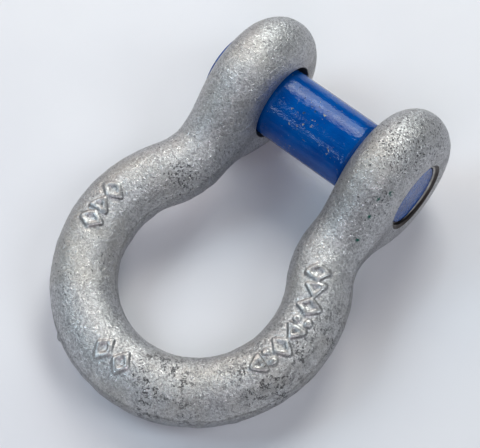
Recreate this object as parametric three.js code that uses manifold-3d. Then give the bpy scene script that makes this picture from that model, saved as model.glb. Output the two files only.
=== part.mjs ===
// Bow shackle with a flush screw pin, lying on its side on a flat surface.
//
// Millimetres. The row frame has +X along the pin (towards the tapped ear), +Z up, and the
// ears at +Y with the bow at -Y. Its origin is the bottom centre of the bounding box.
//
// Everything is first drawn in the shackle's own frame, where the pin's axis is the X axis
// and the bow lies in the XY plane towards -Y. The ears are thicker than the bow, so at rest
// the shackle lies on its two ears and on the crown of its bow, tilted a little about X.

import * as THREE from 'three';
import { mergeVertices } from 'three/addons/utils/BufferGeometryUtils.js';
import Module from 'manifold-3d';

const wasm = await Module();
wasm.setup();

// Driving dimensions of a 3/4 inch shackle.
const jawWidth = 31.8;
const insideLength = 71.5;
const pinDiameter = 22.4;
const earDiameter = 46.8;
const earThickness = 19.2;
const bowInsideWidth = 50.3;
const legDiameter = 19.7;
const crownDiameter = 20.3;
const neckFilletRadius = 23.4;

// The blend in the bow's plane view where the round ear runs into the leg.
const earToLegBlend = 11;

// Holes and pin.
const clearanceHoleDiameter = 24.4;
const tappedHoleDiameter = 21.9;
const holeChamfer = 0.5;
const threadDiameter = 21.2;
const headStandsProud = 2.0;
const threadEndRecess = 1.1;
const pinEndChamfer = 1.0;
const shoulderSetback = 1.6;
const shoulderLength = 1.2;
const keySocketWidth = 10;
const keySocketDepth = 10;

// Facets.
const ringSteps = 14;
const holeSegments = 48;
const pinSegments = 48;
const cutterOverrun = 3;

// Derived sizes.
const pinRadius = pinDiameter / 2;
const threadRadius = threadDiameter / 2;
const earRadius = earDiameter / 2;
const earHalf = earThickness / 2;
const legRadius = legDiameter / 2;
const crownRadius = crownDiameter / 2;
const earCentreX = jawWidth / 2 + earHalf;
const earOuterX = jawWidth / 2 + earThickness;
const earFlatRadius = earRadius - earHalf;
const bowRadius = (bowInsideWidth + legDiameter) / 2;
const crownY = -(insideLength + pinRadius + crownRadius);
const bowCentreY = crownY + bowRadius;

// The neck arc is tangent to the straight leg and to the bow.
const bowOpening = Math.acos((earCentreX + neckFilletRadius) / (bowRadius + neckFilletRadius));
const legEndY = bowCentreY + (bowRadius + neckFilletRadius) * Math.sin(bowOpening);
const neckStart = -legEndY;
const neckEnd = neckStart + neckFilletRadius * bowOpening;
const halfLength = neckEnd + bowRadius * (bowOpening + Math.PI / 2);

// Centreline of the right half: a point and its outward normal in the XY plane, at arc
// length s from the pin's axis. Negative s runs beyond the axis to the tip of the ear.
function centreline(s) {
  if (s <= neckStart) {
    return { x: earCentreX, y: -s, nx: 1, ny: 0 };
  }
  if (s <= neckEnd) {
    const turn = (s - neckStart) / neckFilletRadius;
    const nx = Math.cos(turn);
    const ny = Math.sin(turn);
    return {
      x: earCentreX + neckFilletRadius * (1 - nx),
      y: legEndY - neckFilletRadius * ny,
      nx,
      ny,
    };
  }
  const angle = bowOpening - (s - neckEnd) / bowRadius;
  const nx = Math.cos(angle);
  const ny = Math.sin(angle);
  return { x: bowRadius * nx, y: bowCentreY + bowRadius * ny, nx, ny };
}

function smoothStep(t) {
  const u = Math.min(Math.max(t, 0), 1);
  return u * u * (3 - 2 * u);
}

// Half the bar's thickness at arc length s, from the ear through the leg to the crown.
function barRadius(s) {
  const alongNeck = smoothStep((s - neckStart) / (neckEnd - neckStart));
  const alongBow = smoothStep((s - neckEnd) / (halfLength - neckEnd));
  return earHalf + (legRadius - earHalf) * alongNeck + (crownRadius - legRadius) * alongBow;
}

// Distance, in the mid plane of the bar, from the ear's flat disc blended with the leg's
// centreline. The solid is everything within one bar radius of that flat figure, so the
// ear has flat faces and a full round edge, and the leg is round.
function midPlaneDistance(s, z) {
  const disc = Math.hypot(s, z) - earFlatRadius;
  const line = Math.hypot(z, Math.min(s, 0));
  const near = Math.max(earToLegBlend - Math.abs(disc - line), 0) / earToLegBlend;
  return Math.min(disc, line) - near * near * earToLegBlend / 4;
}

// The height z at which the mid plane distance reaches a given value.
function heightAtDistance(s, distance) {
  if (midPlaneDistance(s, 0) >= distance) {
    return 0;
  }
  let low = 0;
  let high = 2 * earRadius;
  for (let i = 0; i < 50; i += 1) {
    const middle = (low + high) / 2;
    if (midPlaneDistance(s, middle) < distance) {
      low = middle;
    } else {
      high = middle;
    }
  }
  return (low + high) / 2;
}

// One cross-section: from the outer face over the top edge to the inner face, then back
// under the bottom edge.
function ring(s) {
  const { x, y, nx, ny } = centreline(s);
  const radius = barRadius(s);
  const beyondFlat = Math.max(midPlaneDistance(s, 0), 0);
  const firstAngle = Math.asin(Math.min(beyondFlat / radius, 1));
  const top = [];
  for (let i = 0; i <= ringSteps; i += 1) {
    const angle = firstAngle + (Math.PI - 2 * firstAngle) * i / ringSteps;
    const out = radius * Math.cos(angle);
    const z = heightAtDistance(s, radius * Math.sin(angle));
    top.push([x + nx * out, y + ny * out, z]);
  }
  const bottom = top.map(([px, py, pz]) => [px, py, -pz]).reverse();
  return [...top, ...bottom];
}

function evenly(from, to, steps) {
  return Array.from({ length: steps }, (_, i) => from + (to - from) * i / steps);
}

// Arc lengths of the sections: equal angles round the ear's tip and disc, then equal steps.
function stations() {
  const quarter = Math.PI / 2;
  const tip = evenly(quarter, 0, 7).map((t) => -earFlatRadius - earHalf * Math.sin(t));
  const disc = evenly(-quarter, quarter, 12).map((t) => earFlatRadius * Math.sin(t));
  const leg = evenly(earFlatRadius, neckStart, 5);
  const neck = evenly(neckStart, neckEnd, 6);
  const bow = evenly(neckEnd, halfLength, 18);
  return [...tip, ...disc, ...leg, ...neck, ...bow, halfLength];
}

// Skins a list of rings into one closed geometry; the first and last rings are points.
function skin(rings) {
  const count = rings[0].length;
  const index = [];
  for (let i = 0; i + 1 < rings.length; i += 1) {
    for (let j = 0; j < count; j += 1) {
      const a = i * count + j;
      const b = i * count + (j + 1) % count;
      index.push(a, b, b + count, a, b + count, a + count);
    }
  }
  const geometry = new THREE.BufferGeometry();
  geometry.setAttribute('position', new THREE.Float32BufferAttribute(rings.flat(2), 3));
  geometry.setIndex(index);
  return geometry;
}

// A closed geometry as a manifold, its coincident vertices merged and the triangles that
// this folds away left out.
function toManifold(geometry) {
  geometry.deleteAttribute('normal');
  geometry.deleteAttribute('uv');
  const merged = mergeVertices(geometry, 1e-4);
  const index = merged.index.array;
  const kept = [];
  for (let i = 0; i < index.length; i += 3) {
    const [a, b, c] = [index[i], index[i + 1], index[i + 2]];
    if (a !== b && b !== c && c !== a) {
      kept.push(a, b, c);
    }
  }
  return new wasm.Manifold(new wasm.Mesh({
    numProp: 3,
    vertProperties: new Float32Array(merged.attributes.position.array),
    triVerts: new Uint32Array(kept),
  }));
}

function toGeometry(manifold) {
  const { vertProperties, triVerts } = manifold.getMesh();
  const geometry = new THREE.BufferGeometry();
  geometry.setAttribute('position', new THREE.BufferAttribute(vertProperties, 3));
  geometry.setIndex(new THREE.BufferAttribute(triVerts, 1));
  geometry.computeVertexNormals();
  return geometry;
}

// A solid of revolution about X from [x, radius] points that start and end on the axis.
function turned(profile, segments) {
  const points = profile.map(([x, radius]) => new THREE.Vector2(radius, x));
  return new THREE.LatheGeometry(points, segments).rotateZ(-Math.PI / 2);
}

// The cutter for a chamfered hole through the ear that spans X from innerX to outerX.
function holeCutter(innerX, outerX, diameter) {
  const radius = diameter / 2;
  const wide = radius + holeChamfer + cutterOverrun;
  return toManifold(turned([
    [innerX - cutterOverrun, 0],
    [innerX - cutterOverrun, wide],
    [innerX + holeChamfer, radius],
    [outerX - holeChamfer, radius],
    [outerX + cutterOverrun, wide],
    [outerX + cutterOverrun, 0],
  ], holeSegments));
}

function bowBody() {
  const rightHalf = stations().map(ring);
  const mirrored = rightHalf.slice(0, -1).reverse();
  const leftHalf = mirrored.map((points) => points.map(([x, y, z]) => [-x, y, z]));
  const jaw = jawWidth / 2;
  const bar = toManifold(skin([...rightHalf, ...leftHalf]));
  const tapped = holeCutter(jaw, earOuterX, tappedHoleDiameter);
  const clearance = holeCutter(-earOuterX, -jaw, clearanceHoleDiameter);
  return toGeometry(bar.subtract(tapped).subtract(clearance));
}

function screwPin() {
  const headX = -earOuterX - headStandsProud;
  const endX = earOuterX - threadEndRecess;
  const shoulderX = jawWidth / 2 - shoulderSetback;
  const endFaceRadius = threadRadius - pinEndChamfer * 0.6;
  const shank = toManifold(turned([
    [headX, 0],
    [headX, pinRadius - pinEndChamfer],
    [headX + pinEndChamfer, pinRadius],
    [shoulderX, pinRadius],
    [shoulderX + shoulderLength, threadRadius],
    [endX - pinEndChamfer, threadRadius],
    [endX, endFaceRadius],
    [endX, 0],
  ], pinSegments));
  const socketLength = keySocketDepth + cutterOverrun;
  const socket = new THREE.BoxGeometry(socketLength, keySocketWidth, keySocketWidth);
  socket.translate(headX + keySocketDepth - socketLength / 2, 0, 0);
  return toGeometry(shank.subtract(toManifold(socket)));
}

const galvanisedSteel = new THREE.MeshStandardMaterial({
  color: new THREE.Color(0.60, 0.60, 0.61),
  roughness: 0.5,
  metalness: 0.85,
});
const bluePaint = new THREE.MeshStandardMaterial({
  color: new THREE.Color(0.01, 0.09, 0.36),
  roughness: 0.35,
  metalness: 0.0,
});

function named(name, geometry, material) {
  const mesh = new THREE.Mesh(geometry, material);
  mesh.name = name;
  return mesh;
}

// Lying at rest: the bow's crown drops until it touches the surface the ears lie on.
const shackle = new THREE.Group();
shackle.rotation.x = Math.asin((earRadius - crownRadius) / Math.abs(crownY));
shackle.add(named('forged_bow', bowBody(), galvanisedSteel));
shackle.add(named('screw_pin', screwPin(), bluePaint));

// The row's origin is the bottom centre of the box around the whole shackle.
const part = new THREE.Group();
part.add(shackle);
const box = new THREE.Box3().setFromObject(part, true);
shackle.position.set(0, -(box.min.y + box.max.y) / 2, -box.min.z);

export default part;
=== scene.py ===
"""Bow shackle with a flush screw pin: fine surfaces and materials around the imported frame.

The frame's two solids are replaced by finer meshes of the same shape: the forged bow with
its flash line, raised marks and cut thread, and the painted pin. Lengths are written in
millimetres and scaled to metres where they are used, except for the floor's and the
lights', which are in metres.

The shackle is described in its own frame, where the pin's axis is the X axis and the bow
lies in the XY plane towards -Y. A distance along the bar's centreline runs from zero at
the tapped ear's axis, round the bow, to the other ear.
"""
import math
import bpy
import numpy as np
from mathutils import Matrix, Vector, noise


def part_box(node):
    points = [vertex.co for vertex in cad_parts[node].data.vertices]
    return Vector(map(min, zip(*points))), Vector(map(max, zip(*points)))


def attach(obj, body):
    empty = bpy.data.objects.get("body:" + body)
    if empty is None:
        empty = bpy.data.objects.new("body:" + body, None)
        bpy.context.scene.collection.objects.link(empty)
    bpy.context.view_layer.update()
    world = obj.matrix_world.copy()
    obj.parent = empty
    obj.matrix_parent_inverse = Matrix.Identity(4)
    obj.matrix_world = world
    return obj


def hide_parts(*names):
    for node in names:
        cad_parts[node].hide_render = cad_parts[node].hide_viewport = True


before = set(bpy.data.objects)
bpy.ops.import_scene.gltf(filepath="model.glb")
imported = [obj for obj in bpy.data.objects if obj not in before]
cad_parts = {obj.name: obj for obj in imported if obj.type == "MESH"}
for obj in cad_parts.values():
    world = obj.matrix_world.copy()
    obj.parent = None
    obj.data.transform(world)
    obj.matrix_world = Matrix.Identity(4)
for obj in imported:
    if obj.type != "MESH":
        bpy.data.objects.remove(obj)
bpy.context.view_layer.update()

MM = 0.001

# Shape of the forging, as in the CAD part.
JAW_WIDTH = 31.8
INSIDE_LENGTH = 71.5
PIN_RADIUS = 11.2
EAR_RADIUS = 23.4
EAR_HALF = 9.6
BOW_INSIDE_WIDTH = 50.3
LEG_RADIUS = 9.85
CROWN_RADIUS = 10.15
NECK_FILLET_RADIUS = 23.4
EAR_TO_LEG_BLEND = 11.0

# The plain hole is a little off the pin's axis: the pin lies nearer its side by the bow.
CLEARANCE_HOLE_RADIUS = 12.45
CLEARANCE_HOLE_OFFSET = 0.35
HOLE_RIM = 0.3
RIM_OVERRUN = 4.0
RIM_FLARE = 0.2

# Threads, on the pin and in the tapped ear. A tooth's base is a share of the pitch, and the
# phase turns both threads so that the hole's first full turn starts at the ear's tip.
THREAD_PITCH = 2.8
THREAD_PHASE = -0.05
THREAD_FLANK_ANGLE = math.radians(30)
THREAD_STATION_STEP = 0.12
PIN_THREAD_ROOT = 9.6
PIN_THREAD_CREST = 10.9
PIN_TOOTH_BASE = 0.70
PIN_THREAD_START = 0.4
PIN_THREAD_RUN_IN = 1.8
HOLE_THREAD_LAND = 9.95
HOLE_THREAD_GROOVE = 11.3
HOLE_GROOVE_BASE = 0.80
MOUTH_GROOVE_BASE = 0.45
MOUTH_DEPTH = 1.25
COUNTERSINK_LIP = 0.1
COUNTERSINK_SLOPE = 1.3
HOLE_OVERRUN = 1.0

# The pin's head, whose face stands a little beyond the CAD's, its shoulder and its far end.
HEAD_EXTRA = 0.2
HEAD_EDGE = 0.45
SHANK_START = 2.0
SHANK_END_GAP = 0.3
SHANK_STATION_STEP = 0.8
SHOULDER_SETBACK = 2.2
SHOULDER_LENGTH = 1.2
END_FACE_RADIUS = 9.4
END_FILL = 1.0
END_FILL_SLOPE = 0.5
KEY_SOCKET_WIDTH = 10.0
KEY_SOCKET_DEPTH = 10.0
SOCKET_TIP = 1.2
SOCKET_CORNER = 0.9

# Derived sizes.
EAR_CENTRE_X = JAW_WIDTH / 2 + EAR_HALF
EAR_OUTER_X = JAW_WIDTH / 2 + 2 * EAR_HALF
EAR_FLAT_RADIUS = EAR_RADIUS - EAR_HALF
BOW_RADIUS = BOW_INSIDE_WIDTH / 2 + LEG_RADIUS
CROWN_Y = -(INSIDE_LENGTH + PIN_RADIUS + CROWN_RADIUS)
BOW_CENTRE_Y = CROWN_Y + BOW_RADIUS
BOW_OPENING = math.acos((EAR_CENTRE_X + NECK_FILLET_RADIUS) / (BOW_RADIUS + NECK_FILLET_RADIUS))
LEG_END_Y = BOW_CENTRE_Y + (BOW_RADIUS + NECK_FILLET_RADIUS) * math.sin(BOW_OPENING)
NECK_START = -LEG_END_Y
NECK_END = NECK_START + NECK_FILLET_RADIUS * BOW_OPENING
HALF_LENGTH = NECK_END + BOW_RADIUS * (BOW_OPENING + math.pi / 2)

# Fineness of the meshes: mm along the bar, steps over half a section, the samples and
# halvings that find a section, columns round a turned piece, and points over a round edge.
STATION_STEP = 0.5
SECTION_STEPS = 84
SECTION_SAMPLES = 97
HALVINGS = 40
HOLE_COLUMNS = 160
PIN_COLUMNS = 192
ROUND_EDGE_STEPS = 7

# Where the shackle lies, from the frame: the pin's solid gives the axis.
pin_low, pin_high = (np.array(corner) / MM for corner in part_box("screw_pin"))
PIN_AXIS_Y = (pin_low[1] + pin_high[1]) / 2
PIN_AXIS_Z = (pin_low[2] + pin_high[2]) / 2
TILT = math.asin((EAR_RADIUS - CROWN_RADIUS) / -CROWN_Y)
TO_ROW = Matrix.Translation((0, PIN_AXIS_Y * MM, PIN_AXIS_Z * MM)) @ Matrix.Rotation(TILT, 4, "X")


def smooth_step(value, low, high):
    """0 below low, 1 above high, smooth between."""
    t = np.clip((value - low) / (high - low), 0, 1)
    return t * t * (3 - 2 * t)


def noise_at(points, wavelength, seed):
    """Smooth noise from -1 to 1 at points in mm."""
    scaled = points / wavelength + seed * 17.3
    return np.array([noise.noise(Vector(p)) for p in scaled])


# ---------------------------------------------------------------- the forging's shape

def centreline(along):
    """Point and outward normal in the XY plane at a distance along the whole bar."""
    side = np.where(along <= HALF_LENGTH, 1.0, -1.0)
    s = np.where(along <= HALF_LENGTH, along, 2 * HALF_LENGTH - along)
    turn = np.clip((s - NECK_START) / NECK_FILLET_RADIUS, 0, BOW_OPENING)
    angle = BOW_OPENING - (s - NECK_END) / BOW_RADIUS
    on_bow = s > NECK_END
    normal = np.where(on_bow, angle, turn)
    nx, ny = np.cos(normal), np.sin(normal)
    x = np.where(on_bow, BOW_RADIUS * nx, EAR_CENTRE_X + NECK_FILLET_RADIUS * (1 - nx))
    neck_y = LEG_END_Y - NECK_FILLET_RADIUS * ny
    y = np.where(on_bow, BOW_CENTRE_Y + BOW_RADIUS * ny, np.where(s > NECK_START, neck_y, -s))
    return side * x, y, side * nx, ny


def bar_radius(s):
    along_neck = smooth_step(s, NECK_START, NECK_END)
    along_bow = smooth_step(s, NECK_END, HALF_LENGTH)
    return EAR_HALF + (LEG_RADIUS - EAR_HALF) * along_neck + (CROWN_RADIUS - LEG_RADIUS) * along_bow


def mid_plane_distance(s, z):
    """Distance in the bar's mid plane from the ear's flat disc blended with the leg."""
    disc = np.hypot(s, z) - EAR_FLAT_RADIUS
    line = np.hypot(z, np.minimum(s, 0))
    near = np.maximum(EAR_TO_LEG_BLEND - np.abs(disc - line), 0) / EAR_TO_LEG_BLEND
    return np.minimum(disc, line) - near * near * EAR_TO_LEG_BLEND / 4


def section(s, steps):
    """Half of one cross-section, over the top: out and z at even steps from the outer to
    the inner face, and the distance walked from the outer face."""
    radius = float(bar_radius(s))
    beyond_flat = max(float(mid_plane_distance(s, 0.0)), 0.0)
    first = math.asin(min(beyond_flat / radius, 1.0))
    angles = np.linspace(first, math.pi - first, SECTION_SAMPLES)
    target = radius * np.sin(angles)
    low = np.zeros_like(angles)
    high = np.full_like(angles, 2 * EAR_RADIUS)
    for _ in range(HALVINGS):
        middle = (low + high) / 2
        inside = mid_plane_distance(s, middle) < target
        low = np.where(inside, middle, low)
        high = np.where(inside, high, middle)
    edge = radius * math.cos(first)
    out = np.concatenate([[edge], radius * np.cos(angles), [-edge]])
    z = np.concatenate([[0.0], low, [0.0]])
    walked = np.concatenate([[0.0], np.cumsum(np.hypot(np.diff(out), np.diff(z)))])
    even = np.linspace(0, walked[-1], steps + 1)
    return np.interp(even, walked, out), np.interp(even, walked, z), even


def ear_stations(step):
    """Distances along the bar from one ear's tip to its axis, close together at the tip."""
    tip_steps = int(EAR_HALF * math.pi / 2 / step)
    tip = np.linspace(math.pi / 2, 0, tip_steps, endpoint=False)
    flat = np.linspace(-EAR_FLAT_RADIUS, 0, int(EAR_FLAT_RADIUS / step), endpoint=False)
    return np.concatenate([-EAR_FLAT_RADIUS - EAR_HALF * np.sin(tip), flat])


def bar_grid(step, half_steps):
    """The bare forging as a grid of points, one row per station, one column round the bar,
    with each point's distance along the bar and across it from the top line."""
    ear = ear_stations(step)
    length = 2 * HALF_LENGTH
    between = np.linspace(0, length, int(length / step), endpoint=False)
    along = np.concatenate([ear, between, [length], (length - ear)[::-1]])
    x, y, nx, ny = centreline(along)
    points = np.zeros((len(along), 2 * half_steps, 3))
    across = np.zeros(points.shape[:2])
    for i, t in enumerate(along):
        out, z, walked = section(min(t, length - t), half_steps)
        out = np.concatenate([out, out[-2:0:-1]])
        z = np.concatenate([z, -z[-2:0:-1]])
        middle = walked[-1] / 2
        across[i] = middle - np.concatenate([walked, walked[-2:0:-1]])
        points[i] = np.stack([x[i] + nx[i] * out, y[i] + ny[i] * out, z], axis=-1)
    return points, np.repeat(along[:, None], points.shape[1], axis=1), across


def grid_normals(points):
    """Outward unit normals of a grid whose columns close round it."""
    round_bar = np.roll(points, -1, axis=1) - np.roll(points, 1, axis=1)
    along_bar = np.gradient(points, axis=0)
    normals = np.cross(round_bar, along_bar)
    normals /= np.maximum(np.linalg.norm(normals, axis=-1, keepdims=True), 1e-9)
    tips = [0, -1]
    normals[tips] = (0, 1, 0)
    return normals


# ---------------------------------------------------------------- relief of the forging

def stroke(u, v, start, end):
    """Distance from a straight stroke between two points, in mm."""
    start = np.array(start, float)
    run = np.array(end, float) - start
    t = np.clip(((u - start[0]) * run[0] + (v - start[1]) * run[1]) / (run @ run), 0, 1)
    return np.hypot(u - start[0] - t * run[0], v - start[1] - t * run[1])


def chain(u, v, corners):
    """Distance from strokes joined end to end."""
    return np.minimum.reduce([stroke(u, v, a, b) for a, b in zip(corners, corners[1:])])


def lozenge_mark(u, v):
    return chain(u, v, [(0, 3.2), (2.1, 0), (0, -3.2), (-2.1, 0), (0, 3.2)])


def triangle_mark(u, v):
    return chain(u, v, [(-1.5, 2.5), (1.7, 0), (-1.5, -2.5), (-1.5, 2.5)])


def two_dots_mark(u, v):
    return np.hypot(u, np.abs(v) - 1.8) - 0.5


# Generic raised marks: the figure, and where its middle lies along and across the bar.
MARKS = [
    (lozenge_mark, 38.9, 0.2),
    (triangle_mark, 44.3, 0.2),
    (lozenge_mark, 49.7, 0.0),
    (two_dots_mark, 54.2, 0.2),
    (triangle_mark, 58.4, 0.0),
    (lozenge_mark, 63.8, 0.0),
    (two_dots_mark, 68.3, 0.0),
    (triangle_mark, 72.6, 0.1),
    (lozenge_mark, HALF_LENGTH - 1.2, 0.9),
    (lozenge_mark, HALF_LENGTH + 5.4, 0.9),
    (lozenge_mark, 2 * HALF_LENGTH - 67.2, 0.3),
    (triangle_mark, 2 * HALF_LENGTH - 61.8, 0.2),
    (lozenge_mark, 2 * HALF_LENGTH - 56.4, 0.3),
]
MARK_HALF_WIDTH = 0.5
MARK_FLANK = 0.5
MARK_HEIGHT = 0.85
MARK_SURROUND = 2.4
MARK_WINDOW_ALONG = 6.0
MARK_WINDOW_ACROSS = 7.0
TOP_SIDE_Z = 2.0

# The trimmed flash: a land round the bar's outline, of uneven width and height. It is
# strong over two stretches of the bar, one outside and one inside, and weak elsewhere.
FLASH_HALF_WIDTH = 2.6
FLASH_HEIGHT = 0.30
FLASH_EDGE = 0.14
FLASH_WEAK = 0.25
FLASH_STRONG_OUTSIDE = (30.0, 128.0)
FLASH_STRONG_INSIDE = (138.0, 190.0)
FLASH_FADE_NEAR = 5.0
FLASH_FADE_FAR = 15.0

# A burr on the flash.
BURR_ALONG = 2 * HALF_LENGTH - 97.8
BURR_Z = 1.2
BURR_LENGTH = 1.2
BURR_WIDTH = 1.8
BURR_HEIGHT = 0.55

# Uneven forged skin: wavelengths with the heights that they add, and with how far they vary
# the flash's width. The skin is then sunk a little, to keep it about the CAD's surface.
SKIN_WAVES = ((22.0, 0.14), (8.0, 0.10), (3.2, 0.07), (1.6, 0.05))
FLASH_WIDTH_WAVES = ((22.0, 1.1), (8.0, 0.7), (1.6, 0.35))
MARK_EDGE_WAVE = 0.09
SKIN_SUNK = 0.14

# The ears' flat faces have less relief. This fades in over these depths below a face, and
# fades out over these radii from the hole's axis.
FACE_FLATNESS = 0.9
FACE_FADE_DEPTHS = (3.0, 0.6)
FACE_FADE_RADII = (19.0, 23.0)


def marks_relief(along, across, on_top, unevenness):
    """How far each point stands on a mark, and how near it is to one, from 0 to 1."""
    raised = np.zeros_like(along)
    close = np.zeros_like(along)
    for shape, middle, offset in MARKS:
        near = on_top & (np.abs(along - middle) < MARK_WINDOW_ALONG)
        near &= np.abs(across - offset) < MARK_WINDOW_ACROSS
        distance = shape(along[near] - middle, across[near] - offset) + unevenness[near]
        top = 1 - smooth_step(distance, MARK_HALF_WIDTH, MARK_HALF_WIDTH + MARK_FLANK)
        raised[near] = np.maximum(raised[near], top)
        surround = 1 - smooth_step(distance, MARK_HALF_WIDTH, MARK_SURROUND)
        close[near] = np.maximum(close[near], surround)
    return raised, close


def flash_relief(points, along, across, waves):
    """Height in mm and coverage from 0 to 1 of the trimmed flash."""
    height = np.abs(points[..., 2])
    width = sum((amount * waves[size] for size, amount in FLASH_WIDTH_WAVES), FLASH_HALF_WIDTH)
    cover = 1 - smooth_step(height - width, -FLASH_EDGE, FLASH_EDGE)
    strength = np.full_like(along, FLASH_WEAK)
    for outward, (first, last) in ((1, FLASH_STRONG_OUTSIDE), (-1, FLASH_STRONG_INSIDE)):
        begun = smooth_step(along, first - FLASH_FADE_FAR, first + FLASH_FADE_NEAR)
        ended = smooth_step(along, last - FLASH_FADE_NEAR, last + FLASH_FADE_FAR)
        strength += (1 - FLASH_WEAK) * (begun - ended) * (outward * across > 0)
    relief = FLASH_HEIGHT * strength * (1 + 0.5 * waves[8.0] + 0.3 * waves[3.2]) * cover
    from_burr = np.hypot((along - BURR_ALONG) / BURR_LENGTH, (points[..., 2] - BURR_Z) / BURR_WIDTH)
    burr = BURR_HEIGHT * (1 - smooth_step(from_burr, 0.2, 1.0))
    return relief + burr * (across > 0), cover * strength


def on_ear_face(points):
    """1 on the ears' flat faces, fading to 0 towards their round edges."""
    from_middle = np.abs(np.abs(points[..., 0]) - EAR_CENTRE_X)
    from_axis = np.hypot(points[..., 1], points[..., 2])
    deep, shallow = FACE_FADE_DEPTHS
    near_face = smooth_step(from_middle, EAR_HALF - deep, EAR_HALF - shallow)
    return near_face * (1 - smooth_step(from_axis, *FACE_FADE_RADII))


def forged_surface():
    """Points of the forging's skin with all its relief, and the masks for its material."""
    points, along, across = bar_grid(STATION_STEP, SECTION_STEPS)
    normals = grid_normals(points)
    flat = points.reshape(-1, 3)
    waves = {size: noise_at(flat, size, seed).reshape(along.shape)
             for seed, (size, _) in enumerate(SKIN_WAVES)}
    on_top = points[..., 2] > TOP_SIDE_Z
    marks, near_marks = marks_relief(along, across, on_top, MARK_EDGE_WAVE * waves[1.6])
    flash, flash_cover = flash_relief(points, along, across, waves)
    relief = MARK_HEIGHT * marks * (1 + 0.25 * waves[3.2]) + flash
    relief += sum(height * waves[size] for size, height in SKIN_WAVES)
    relief -= SKIN_SUNK
    relief *= 1 - FACE_FLATNESS * on_ear_face(points)
    masks = {"mark": marks, "near_mark": near_marks, "flash": flash_cover}
    return points + normals * relief[..., None], masks


# ---------------------------------------------------------------- making meshes

def new_object(name, vertices, faces):
    """A mesh object from points in mm in the shackle's frame, set down in the row's."""
    mesh = bpy.data.meshes.new(name)
    rotation = np.array(TO_ROW.to_3x3())
    shift = np.array(TO_ROW.translation)
    placed = np.asarray(vertices) * MM @ rotation.T + shift
    mesh.from_pydata(placed.tolist(), [], faces)
    mesh.validate()
    piece = bpy.data.objects.new(name, mesh)
    bpy.context.scene.collection.objects.link(piece)
    return piece


def grid_faces(rows, columns):
    """Quads of a grid whose columns close round it."""
    i, j = np.meshgrid(np.arange(rows - 1), np.arange(columns), indexing="ij")
    k = (j + 1) % columns
    here, beyond = i * columns, (i + 1) * columns
    quads = np.stack([here + j, here + k, beyond + k, beyond + j], -1)
    return quads.reshape(-1, 4).tolist()


def closed_grid(name, points):
    """A closed piece from a grid whose first and last rows are each one point."""
    rows, columns = points.shape[:2]
    inner = points[1:-1].reshape(-1, 3)
    first, last = len(inner), len(inner) + 1
    vertices = np.concatenate([inner, points[0, :1], points[-1, :1]])
    faces = grid_faces(rows - 2, columns)
    base = (rows - 3) * columns
    for j in range(columns):
        k = (j + 1) % columns
        faces.append((first, k, j))
        faces.append((last, base + j, base + k))
    return new_object(name, vertices, faces)


def turned(name, profile, columns):
    """A closed piece turned about the pin's axis from (x, radius) points; a radius may be a
    function of x and the angle, for a thread."""
    angles = np.linspace(0, 2 * math.pi, columns, endpoint=False)
    rows = []
    for x, radius in profile:
        r = radius(x, angles) if callable(radius) else np.full(columns, float(radius))
        rows.append(np.stack([np.full(columns, x), r * np.cos(angles), r * np.sin(angles)], -1))
    return closed_grid(name, np.array(rows))


def cut(piece, cutter):
    """Takes the cutter out of the piece. The walls it leaves keep the cutter's material."""
    modifier = piece.modifiers.new("cut", "BOOLEAN")
    modifier.object = cutter
    modifier.operation = "DIFFERENCE"
    modifier.solver = "MANIFOLD"
    modifier.material_mode = "TRANSFER"
    graph = bpy.context.evaluated_depsgraph_get()
    mesh = bpy.data.meshes.new_from_object(piece.evaluated_get(graph))
    piece.modifiers.clear()
    piece.data = mesh
    bpy.data.objects.remove(cutter, do_unlink=True)


def smooth_shaded(piece, sharp_angle=50):
    piece.data.shade_smooth()
    piece.data.set_sharp_from_angle(angle=math.radians(sharp_angle))


def thread_radius(root, crest, base_width):
    """Radius of a right-hand thread; base_width is the tooth's base as a share of the pitch."""
    flank = (crest - root) * math.tan(THREAD_FLANK_ANGLE) / THREAD_PITCH

    def radius(x, angles):
        turns = x / THREAD_PITCH - angles / (2 * math.pi) + THREAD_PHASE
        from_middle = np.abs(turns - np.floor(turns) - 0.5)
        tooth = np.clip((base_width / 2 - from_middle) / flank, 0, 1)
        return root + (crest - root) * tooth
    return radius


# ---------------------------------------------------------------- the two pieces

def rounded_rim(face_x, radius, reach, outwards):
    """Profile points of a hole's rounded rim, from the bore out past the ear's face."""
    angles = np.linspace(0, math.pi / 2, ROUND_EDGE_STEPS)
    points = [(face_x - outwards * reach * (1 - math.sin(a)), radius + reach * (1 - math.cos(a)))
              for a in angles]
    return points + [(face_x + outwards * RIM_OVERRUN, radius + reach + RIM_FLARE)]


def clearance_cutter():
    """The plain hole, moved a little off the pin's axis."""
    inner, outer = -JAW_WIDTH / 2, -EAR_OUTER_X
    wall = rounded_rim(outer, CLEARANCE_HOLE_RADIUS, HOLE_RIM, -1)[::-1]
    wall += rounded_rim(inner, CLEARANCE_HOLE_RADIUS, HOLE_RIM, 1)
    profile = [(wall[0][0], 0)] + wall + [(wall[-1][0], 0)]
    cutter = turned("clearance_cutter", profile, HOLE_COLUMNS)
    cutter.data.transform(Matrix.Translation((0, CLEARANCE_HOLE_OFFSET * MM, 0)))
    return cutter


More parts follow.
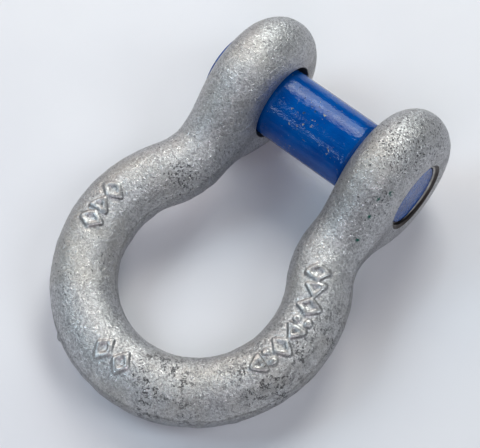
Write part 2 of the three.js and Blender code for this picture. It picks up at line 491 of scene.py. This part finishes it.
def tapped_cutter():
    """The tapped hole: a thread with a countersunk mouth at each face."""
    inner, outer = JAW_WIDTH / 2, EAR_OUTER_X
    thread = thread_radius(HOLE_THREAD_LAND, HOLE_THREAD_GROOVE, HOLE_GROOVE_BASE)
    mouth_thread = thread_radius(HOLE_THREAD_LAND, HOLE_THREAD_GROOVE, MOUTH_GROOVE_BASE)

    def wall(x, angles):
        depth = min(x - inner, outer - x)
        groove = mouth_thread if depth < MOUTH_DEPTH else thread
        countersink = HOLE_THREAD_GROOVE + COUNTERSINK_LIP - COUNTERSINK_SLOPE * depth
        return np.maximum(groove(x, angles), countersink)
    stations = np.arange(inner - HOLE_OVERRUN, outer + HOLE_OVERRUN, THREAD_STATION_STEP)
    profile = [(stations[0], 0)] + [(x, wall) for x in stations] + [(stations[-1], 0)]
    return turned("tapped_cutter", profile, HOLE_COLUMNS)


def make_bow():
    points, masks = forged_surface()
    bow = closed_grid("forged_bow_skin", points)
    bow.data.materials.append(galvanised_steel())
    for name, mask in masks.items():
        values = np.concatenate([mask[1:-1].ravel(), mask[0, :1], mask[-1, :1]])
        bow.data.attributes.new(name, "FLOAT", "POINT").data.foreach_set("value", values)
    bore = machined_bore()
    for cutter in (clearance_cutter(), tapped_cutter()):
        cutter.data.materials.append(bore)
        cut(bow, cutter)
    smooth_shaded(bow)
    return bow


def pin_head():
    """Profile points of the head's face and its rounded edge."""
    head_x = pin_low[0] - HEAD_EXTRA
    face = [(head_x, radius) for radius in (0, 4, 8)]
    edge = [(head_x + HEAD_EDGE * (1 - math.cos(a)), PIN_RADIUS - HEAD_EDGE * (1 - math.sin(a)))
            for a in np.linspace(0, math.pi / 2, ROUND_EDGE_STEPS)]
    return face + edge


def pin_shoulder(shoulder_x, neck_x):
    """Profile points of the shoulder, with softened corners."""
    corner = [(shoulder_x - 0.12, PIN_RADIUS), (shoulder_x + 0.06, PIN_RADIUS - 0.08)]
    foot = [(neck_x, PIN_THREAD_ROOT + 0.5), (neck_x + 0.2, PIN_THREAD_ROOT + 0.3)]
    return corner + foot


def pin_profile():
    head_x, end_x = pin_low[0] - HEAD_EXTRA, pin_high[0]
    shoulder_x = JAW_WIDTH / 2 - SHOULDER_SETBACK
    neck_x = shoulder_x + SHOULDER_LENGTH
    start_x = neck_x + PIN_THREAD_START
    shank_stations = np.arange(head_x + SHANK_START, shoulder_x - SHANK_END_GAP, SHANK_STATION_STEP)
    thread = thread_radius(PIN_THREAD_ROOT, PIN_THREAD_CREST, PIN_TOOTH_BASE)

    def threaded(x, angles):
        started = smooth_step(np.array(x), start_x, start_x + PIN_THREAD_RUN_IN)
        tooth = PIN_THREAD_ROOT + (thread(x, angles) - PIN_THREAD_ROOT) * started
        chamfer = END_FACE_RADIUS + (end_x - x)
        filled = END_FACE_RADIUS + END_FILL - END_FILL_SLOPE * (end_x - x)
        return np.minimum(np.maximum(tooth, filled), chamfer)
    shank = [(x, PIN_RADIUS) for x in shank_stations]
    screw = [(x, threaded) for x in np.arange(start_x, end_x, THREAD_STATION_STEP)]
    face = [(end_x, radius) for radius in (END_FACE_RADIUS, 8, 4, 0)]
    return pin_head() + shank + pin_shoulder(shoulder_x, neck_x) + screw + face


def square_ring(x, half_side):
    """Points round a square with broken corners, at x."""
    quarter_turns = ((1, 0), (0, 1), (-1, 0), (0, -1))
    steps = np.linspace(-SOCKET_CORNER, SOCKET_CORNER, 9) * half_side
    return [(x, c * half_side - s * step, s * half_side + c * step)
            for c, s in quarter_turns for step in steps]


def socket_cutter():
    """A square bar with broken corners, widening where it meets the pin's face."""
    face_x = pin_low[0] - HEAD_EXTRA
    half = KEY_SOCKET_WIDTH / 2
    floor_x = face_x + KEY_SOCKET_DEPTH
    widths = ((face_x - 1, half + 0.6), (face_x, half + 0.5), (face_x + 0.5, half), (floor_x, half))
    rings = [square_ring(x, half_side) for x, half_side in widths]
    first = [(face_x - 1, 0, 0)] * len(rings[0])
    tip = [(floor_x + SOCKET_TIP, 0, 0)] * len(rings[0])
    return closed_grid("socket_cutter", np.array([first] + rings + [tip]))


def make_pin():
    pin = turned("screw_pin_skin", pin_profile(), PIN_COLUMNS)
    paint = blue_paint()
    pin.data.materials.append(paint)
    socket = socket_cutter()
    socket.data.materials.append(paint)
    cut(pin, socket)
    smooth_shaded(pin, 35)
    return pin


# ---------------------------------------------------------------- materials

class Nodes:
    """Short calls for building one material's nodes."""

    def __init__(self, name):
        self.material = bpy.data.materials.new(name)
        self.material.use_nodes = True
        self.tree = self.material.node_tree
        self.tree.nodes.clear()
        self.shader = self.add("ShaderNodeBsdfPrincipled")
        output = self.add("ShaderNodeOutputMaterial")
        self.link(self.shader.outputs[0], output.inputs["Surface"])
        self.place = self.add("ShaderNodeTexCoord").outputs["Object"]

    def add(self, kind, **settings):
        node = self.tree.nodes.new(kind)
        for key, value in settings.items():
            setattr(node, key, value)
        return node

    def link(self, source, target):
        self.tree.links.new(source, target)

    def feed(self, node, socket, value):
        if isinstance(value, bpy.types.NodeSocket):
            self.link(value, node.inputs[socket])
        else:
            node.inputs[socket].default_value = value

    def noise(self, size_mm, detail=2.0, roughness=0.5, distortion=0.0, vector=None):
        """Noise whose lumps are about size_mm across, from 0 to 1."""
        node = self.add("ShaderNodeTexNoise")
        self.link(vector or self.place, node.inputs["Vector"])
        self.feed(node, "Scale", 1000.0 / size_mm)
        self.feed(node, "Detail", detail)
        self.feed(node, "Roughness", roughness)
        self.feed(node, "Distortion", distortion)
        return node.outputs["Fac"]

    def stretched(self, scale):
        """The object's coordinates scaled differently along each axis."""
        node = self.add("ShaderNodeMapping")
        self.link(self.place, node.inputs["Vector"])
        node.inputs["Scale"].default_value = scale
        return node.outputs["Vector"]

    def ramp(self, value, low, high, to_low=0.0, to_high=1.0):
        """Maps value from low..high to to_low..to_high, smoothly and clamped."""
        node = self.add("ShaderNodeMapRange", interpolation_type="SMOOTHSTEP")
        self.link(value, node.inputs["Value"])
        node.inputs["From Min"].default_value = low
        node.inputs["From Max"].default_value = high
        node.inputs["To Min"].default_value = to_low
        node.inputs["To Max"].default_value = to_high
        return node.outputs["Result"]

    def math(self, operation, a, b=0.0):
        node = self.add("ShaderNodeMath", operation=operation)
        self.feed(node, 0, a)
        self.feed(node, 1, b)
        return node.outputs[0]

    def mix(self, factor, a, b):
        """Mixes two colours."""
        node = self.add("ShaderNodeMix", data_type="RGBA")
        self.feed(node, 0, factor)
        self.feed(node, 6, a)
        self.feed(node, 7, b)
        return node.outputs[2]

    def flecks(self, size_mm, density):
        """Small dark flecks of uneven shape; density runs from 0 for none to 1 for many."""
        field = self.noise(size_mm, detail=2.0, roughness=0.6, distortion=0.7)
        level = self.math("ADD", field, self.math("MULTIPLY", density, 0.17))
        return self.ramp(level, 0.715, 0.755)

    def crazing(self, cell_mm, width):
        """Fine dark broken lines."""
        field = self.noise(cell_mm, detail=3.0, roughness=0.6, distortion=1.5)
        away = self.math("ABSOLUTE", self.math("SUBTRACT", field, 0.5))
        line = self.ramp(away, 0.35 * width, width, 1.0, 0.0)
        broken = self.ramp(self.noise(0.7 * cell_mm, detail=1.0), 0.46, 0.54)
        return self.math("MULTIPLY", line, broken)

    def near(self, point, reach):
        """1 at a point in the shackle's frame, fading to 0 at reach, all in mm."""
        away = self.add("ShaderNodeVectorMath", operation="DISTANCE")
        self.link(self.place, away.inputs[0])
        away.inputs[1].default_value = TO_ROW @ (Vector(point) * MM)
        return self.ramp(away.outputs["Value"], 0.25 * reach * MM, reach * MM, 1.0, 0.0)

    def near_any(self, places):
        """1 near any of several (point, reach) places, fading to 0."""
        nearest = self.near(*places[0])
        for point, reach in places[1:]:
            nearest = self.math("MAXIMUM", nearest, self.near(point, reach))
        return nearest

    def attribute(self, name):
        return self.add("ShaderNodeAttribute", attribute_name=name).outputs["Fac"]

    def bump(self, height, strength, distance_mm):
        node = self.add("ShaderNodeBump")
        self.link(height, node.inputs["Height"])
        node.inputs["Strength"].default_value = strength
        node.inputs["Distance"].default_value = distance_mm * MM
        return node.outputs["Normal"]


def rgb(red, green, blue):
    return (red, green, blue, 1.0)


# Where the zinc is flecked, crazed and spotted with green paint: points in the shackle's
# frame and how far each reaches. A flecked place also has its own density.
FLECKED = [
    ((-22.5, -38.5, 7.7), 9.0, 1.0),
    ((27.5, 6.0, 20.0), 24.0, 0.75),
    ((33.0, 14.0, 12.0), 14.0, 0.85),
    ((31.0, -14.0, 15.0), 14.0, 0.7),
]
CRAZED = [
    ((42.0, -55.0, 5.0), 20.0),
    ((38.0, -72.0, 6.0), 20.0),
    ((14.0, -93.0, 5.0), 22.0),
]
PAINT_SPOTS = [
    ((31.2, -12.2, 17.7), 1.3),
    ((33.1, -8.7, 17.5), 1.2),
    ((31.7, -16.9, 13.7), 1.2),
    ((32.0, -23.2, 8.8), 1.2),
]


def zinc_hollows(n):
    """Where the zinc has dark flecks and crazing, from 0 to 1, few of them by a mark."""
    density = n.ramp(n.noise(9.0, detail=2.0), 0.45, 0.7, 0.28, 0.5)
    for point, reach, most in FLECKED:
        density = n.math("MAXIMUM", density, n.math("MULTIPLY", n.near(point, reach), most))
    flecks = n.flecks(0.65, density)
    patchy = n.ramp(n.noise(7.0, detail=3.0), 0.40, 0.56)
    crazed = n.math("MULTIPLY", n.crazing(cell_mm=2.2, width=0.07), patchy)
    crazed = n.math("MULTIPLY", crazed, n.near_any(CRAZED))
    away_from_marks = n.math("SUBTRACT", 1.0, n.math("MULTIPLY", n.attribute("near_mark"), 0.8))
    return n.math("MULTIPLY", n.math("MAXIMUM", flecks, crazed), away_from_marks)


def zinc_colour(n, tone, hollow):
    """Mottled grey with warm tints, dark hollows, painted shade along the flanks of the marks and
    the flash, darker marks and flash, and green specks.
    """
    colour = n.mix(n.ramp(tone, 0.36, 0.62), rgb(0.36, 0.36, 0.37), rgb(0.71, 0.71, 0.72))
    warm = n.ramp(n.noise(26.0, detail=3.0, roughness=0.6), 0.45, 0.65, 0.0, 0.4)
    colour = n.mix(warm, colour, rgb(0.56, 0.53, 0.48))
    colour = n.mix(n.math("MULTIPLY", hollow, 0.8), colour, rgb(0.06, 0.06, 0.065))
    # Painted shade: a near black line along the flanks of each raised mark and of the flash land,
    # where shade falls in the crease. The marks' tops and the flash land are also drawn a little
    # darker.
    for name, crease_shade_share, top_share in (("mark", 0.25, 0.10), ("flash", 0.30, 0.35)):
        mask = n.attribute(name)
        edge = n.math("MULTIPLY", n.math("MULTIPLY", mask, n.math("SUBTRACT", 1.0, mask)), 4.0)
        colour = n.mix(n.math("MULTIPLY", edge, crease_shade_share), colour, rgb(0.12, 0.12, 0.125))
        colour = n.mix(n.math("MULTIPLY", mask, top_share), colour, rgb(0.22, 0.22, 0.23))
    spot = n.math("MULTIPLY", n.near_any(PAINT_SPOTS), n.ramp(n.noise(0.9), 0.45, 0.5))
    return n.mix(spot, colour, rgb(0.01, 0.12, 0.09))


def galvanised_steel():
    """Hot-dip zinc on a forging: grainy silver grey, flecked in places, crazed on one side."""
    n = Nodes("galvanised_steel")
    grain = n.noise(0.8, detail=3.0, roughness=0.7, distortion=0.5)
    lumps = n.noise(3.0, detail=2.0)
    tone = n.math("ADD", n.math("MULTIPLY", grain, 0.85), n.math("MULTIPLY", lumps, 0.15))
    hollow = zinc_hollows(n)
    n.link(zinc_colour(n, tone, hollow), n.shader.inputs["Base Color"])
    n.shader.inputs["Metallic"].default_value = 0.85
    n.shader.inputs["Specular Tint"].default_value = rgb(0.6, 0.6, 0.62)

    rough = n.ramp(tone, 0.36, 0.62, 0.42, 0.27)
    n.link(n.math("ADD", rough, n.math("MULTIPLY", hollow, 0.3)), n.shader.inputs["Roughness"])
    height = n.math("ADD", grain, n.math("MULTIPLY", lumps, 0.5))
    height = n.math("ADD", height, n.math("MULTIPLY", hollow, -0.3))
    strength = n.math("SUBTRACT", 1.0, n.math("MULTIPLY", n.attribute("near_mark"), 0.65))
    height = n.math("MULTIPLY", height, strength)
    n.link(n.bump(height, 1.0, 0.38), n.shader.inputs["Normal"])
    return n.material


# Radii in mm over which the painted shade on the bore's wall comes in from a thread's land into
# its groove, and eases from the threaded hole's into the plain one's.
LAND_TO_GROOVE = (10.15, 10.6)
THREADED_TO_PLAIN = (11.7, 12.0)


def machined_bore():
    """The walls of the two holes: cut steel, with painted shade that darkens the thread's grooves
    and, less so, the wider plain hole."""
    n = Nodes("machined_bore")
    dirt = n.noise(2.5, detail=3.0, roughness=0.6)
    cuts = n.noise(0.5, detail=2.0, vector=n.stretched((1.0, 0.25, 0.25)))
    from_axis = n.add("ShaderNodeVectorMath", operation="SUBTRACT")
    n.link(n.stretched((0.0, 1.0, 1.0)), from_axis.inputs[0])
    from_axis.inputs[1].default_value = (0.0, PIN_AXIS_Y * MM, PIN_AXIS_Z * MM)
    radius = n.add("ShaderNodeVectorMath", operation="LENGTH")
    n.link(from_axis.outputs[0], radius.inputs[0])
    land, groove_start = (edge * MM for edge in LAND_TO_GROOVE)
    threaded, plain = (edge * MM for edge in THREADED_TO_PLAIN)
    groove = n.ramp(radius.outputs["Value"], land, groove_start)
    plain_hole_shade = n.ramp(radius.outputs["Value"], threaded, plain, 1.0, 0.6)
    groove = n.math("MULTIPLY", groove, plain_hole_shade)
    colour = n.mix(n.ramp(dirt, 0.3, 0.7), rgb(0.42, 0.39, 0.35), rgb(0.62, 0.59, 0.55))
    # Painted shade: the wall is drawn near black down the thread's grooves, and weaker in the plain
    # hole.
    colour = n.mix(n.math("MULTIPLY", groove, 0.93), colour, rgb(0.035, 0.025, 0.025))
    n.link(colour, n.shader.inputs["Base Color"])
    n.shader.inputs["Metallic"].default_value = 0.8
    n.link(n.ramp(dirt, 0.3, 0.7, 0.6, 0.4), n.shader.inputs["Roughness"])
    n.link(n.bump(cuts, 0.6, 0.06), n.shader.inputs["Normal"])
    return n.material


def blue_paint():
    """Blue enamel over steel: glossy, rippled along the pin, scratched and chipped."""
    n = Nodes("blue_paint")
    cloud = n.noise(7.0, detail=3.0)
    colour = n.mix(n.ramp(cloud, 0.35, 0.7), rgb(0.000, 0.058, 0.290), rgb(0.000, 0.082, 0.36))
    along = n.noise(1.0, detail=3.0, roughness=0.7, vector=n.stretched((0.18, 1.0, 1.0)))
    scratches = n.ramp(along, 0.66, 0.72)
    colour = n.mix(n.math("MULTIPLY", scratches, 0.3), colour, rgb(0.02, 0.11, 0.40))
    chips = n.flecks(0.9, n.ramp(n.noise(8.0, detail=2.0), 0.42, 0.62, 0.0, 0.5))
    chip_tone = n.ramp(n.noise(1.6), 0.42, 0.56)
    colour = n.mix(chips, colour, n.mix(chip_tone, rgb(0.03, 0.05, 0.06), rgb(0.40, 0.37, 0.31)))
    n.link(colour, n.shader.inputs["Base Color"])
    n.link(n.ramp(cloud, 0.3, 0.7, 0.14, 0.10), n.shader.inputs["Roughness"])
    n.shader.inputs["IOR"].default_value = 1.45
    n.shader.inputs["Specular IOR Level"].default_value = 0.32
    peel = n.noise(0.9, detail=2.0, roughness=0.5)
    brushed = n.noise(1.4, detail=2.0, vector=n.stretched((0.3, 1.0, 1.0)))
    height = n.math("ADD", n.math("MULTIPLY", peel, 0.65), n.math("MULTIPLY", brushed, 0.6))
    height = n.math("ADD", height, n.math("MULTIPLY", chips, -0.4))
    n.link(n.bump(height, 1.0, 0.13), n.shader.inputs["Normal"])
    return n.material


def pale_board():
    n = Nodes("pale_board")
    faint = n.noise(60.0, detail=3.0)
    n.link(n.mix(n.ramp(faint, 0.3, 0.7), rgb(0.79, 0.795, 0.845), rgb(0.82, 0.825, 0.87)),
           n.shader.inputs["Base Color"])
    n.shader.inputs["Roughness"].default_value = 0.55
    n.shader.inputs["Specular IOR Level"].default_value = 0.3
    return n.material


# ---------------------------------------------------------------- stage

# Half the side of the square floor, in metres.
FLOOR_HALF = 1.5


def make_floor():
    half = FLOOR_HALF
    corners = [(-half, -half, 0), (half, -half, 0), (half, half, 0), (-half, half, 0)]
    mesh = bpy.data.meshes.new("floor")
    mesh.from_pydata(corners, [], [(0, 1, 2, 3)])
    floor = bpy.data.objects.new("floor", mesh)
    bpy.context.scene.collection.objects.link(floor)
    mesh.materials.append(pale_board())


def direction(azimuth, elevation):
    """Unit vector from the object to a viewer; azimuth 0 is a viewer at -Y looking along +Y."""
    a, e = math.radians(azimuth), math.radians(elevation)
    return Vector((math.sin(a) * math.cos(e), -math.cos(a) * math.cos(e), math.sin(e)))


def soft_box(name, azimuth, elevation, distance, side, power, colour):
    lamp = bpy.data.lights.new(name, "AREA")
    lamp.shape = "SQUARE"
    lamp.size = side
    lamp.energy = power
    lamp.color = colour
    light = bpy.data.objects.new(name, lamp)
    towards = direction(azimuth, elevation)
    light.location = towards * distance
    light.rotation_euler = towards.to_track_quat("Z", "Y").to_euler()
    bpy.context.scene.collection.objects.link(light)


# A light tent: most of the light comes from behind the object and from its left, as the
# camera sees it, and the rest opens up the shadows. Each box has its azimuth and elevation
# in degrees, its distance and side in metres, its power in watts and its colour.
SOFT_BOXES = [
    ("back_box", 200, 54, 1.1, 0.42, 3.05, (1.0, 0.97, 0.89)),
    ("near_back_box", 204, 38, 0.6, 0.26, 0.95, (0.90, 1.0, 1.0)),
    ("near_left_box", -95, 45, 0.6, 0.30, 0.62, (1.0, 0.90, 0.80)),
    ("low_back_box", 235, 30, 1.1, 0.45, 0.9, (1.0, 0.80, 0.75)),
    ("left_box", -60, 50, 1.1, 0.45, 2.6, (0.70, 0.88, 1.0)),
    ("strip_box", -23, 37, 1.1, 0.09, 0.30, (0.80, 0.92, 1.0)),
    ("front_box", 32, 50, 1.1, 0.45, 1.9, (1.0, 0.94, 1.0)),
    ("low_front_box", -8, 26, 1.1, 0.12, 0.85, (0.72, 0.88, 1.0)),
    ("right_box", 105, 50, 1.1, 0.45, 2.8, (0.90, 0.96, 1.0)),
]
SKY_COLOUR = (0.90, 0.93, 1.0, 1.0)
SKY_STRENGTH = 0.01


def make_lights():
    for box in SOFT_BOXES:
        soft_box(*box)
    world = bpy.data.worlds.new("studio")
    world.use_nodes = True
    background = world.node_tree.nodes["Background"]
    background.inputs["Color"].default_value = SKY_COLOUR
    background.inputs["Strength"].default_value = SKY_STRENGTH
    bpy.context.scene.world = world


# The camera: angles in degrees, its distance from the point that it looks at and that point
# in the row's frame in mm, and its lens and sensor in mm.
CAMERA_AZIMUTH = 40.64
CAMERA_ELEVATION = 62.87
CAMERA_ROLL = -1.26
CAMERA_DISTANCE = 586.5
CAMERA_AIM = (-2.4, 2.9, 15.0)
CAMERA_LENS = 147.4
CAMERA_SENSOR = 36


def make_camera():
    data = bpy.data.cameras.new("camera")
    data.lens = CAMERA_LENS
    data.sensor_width = CAMERA_SENSOR
    data.clip_start = 10 * MM
    camera = bpy.data.objects.new("camera", data)
    towards = direction(CAMERA_AZIMUTH, CAMERA_ELEVATION)
    camera.location = Vector(CAMERA_AIM) * MM + towards * CAMERA_DISTANCE * MM
    facing = towards.to_track_quat("Z", "Y").to_matrix()
    roll = Matrix.Rotation(math.radians(CAMERA_ROLL), 3, "Z")
    camera.rotation_euler = (facing @ roll).to_euler()
    bpy.context.scene.collection.objects.link(camera)
    bpy.context.scene.camera = camera


# ---------------------------------------------------------------- putting it together

make_camera()
make_lights()
make_floor()

bow = make_bow()
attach(bow, "bow")
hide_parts("forged_bow")

pin = make_pin()
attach(pin, "pin")
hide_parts("screw_pin")

bpy.context.scene.view_settings.view_transform = "Standard"
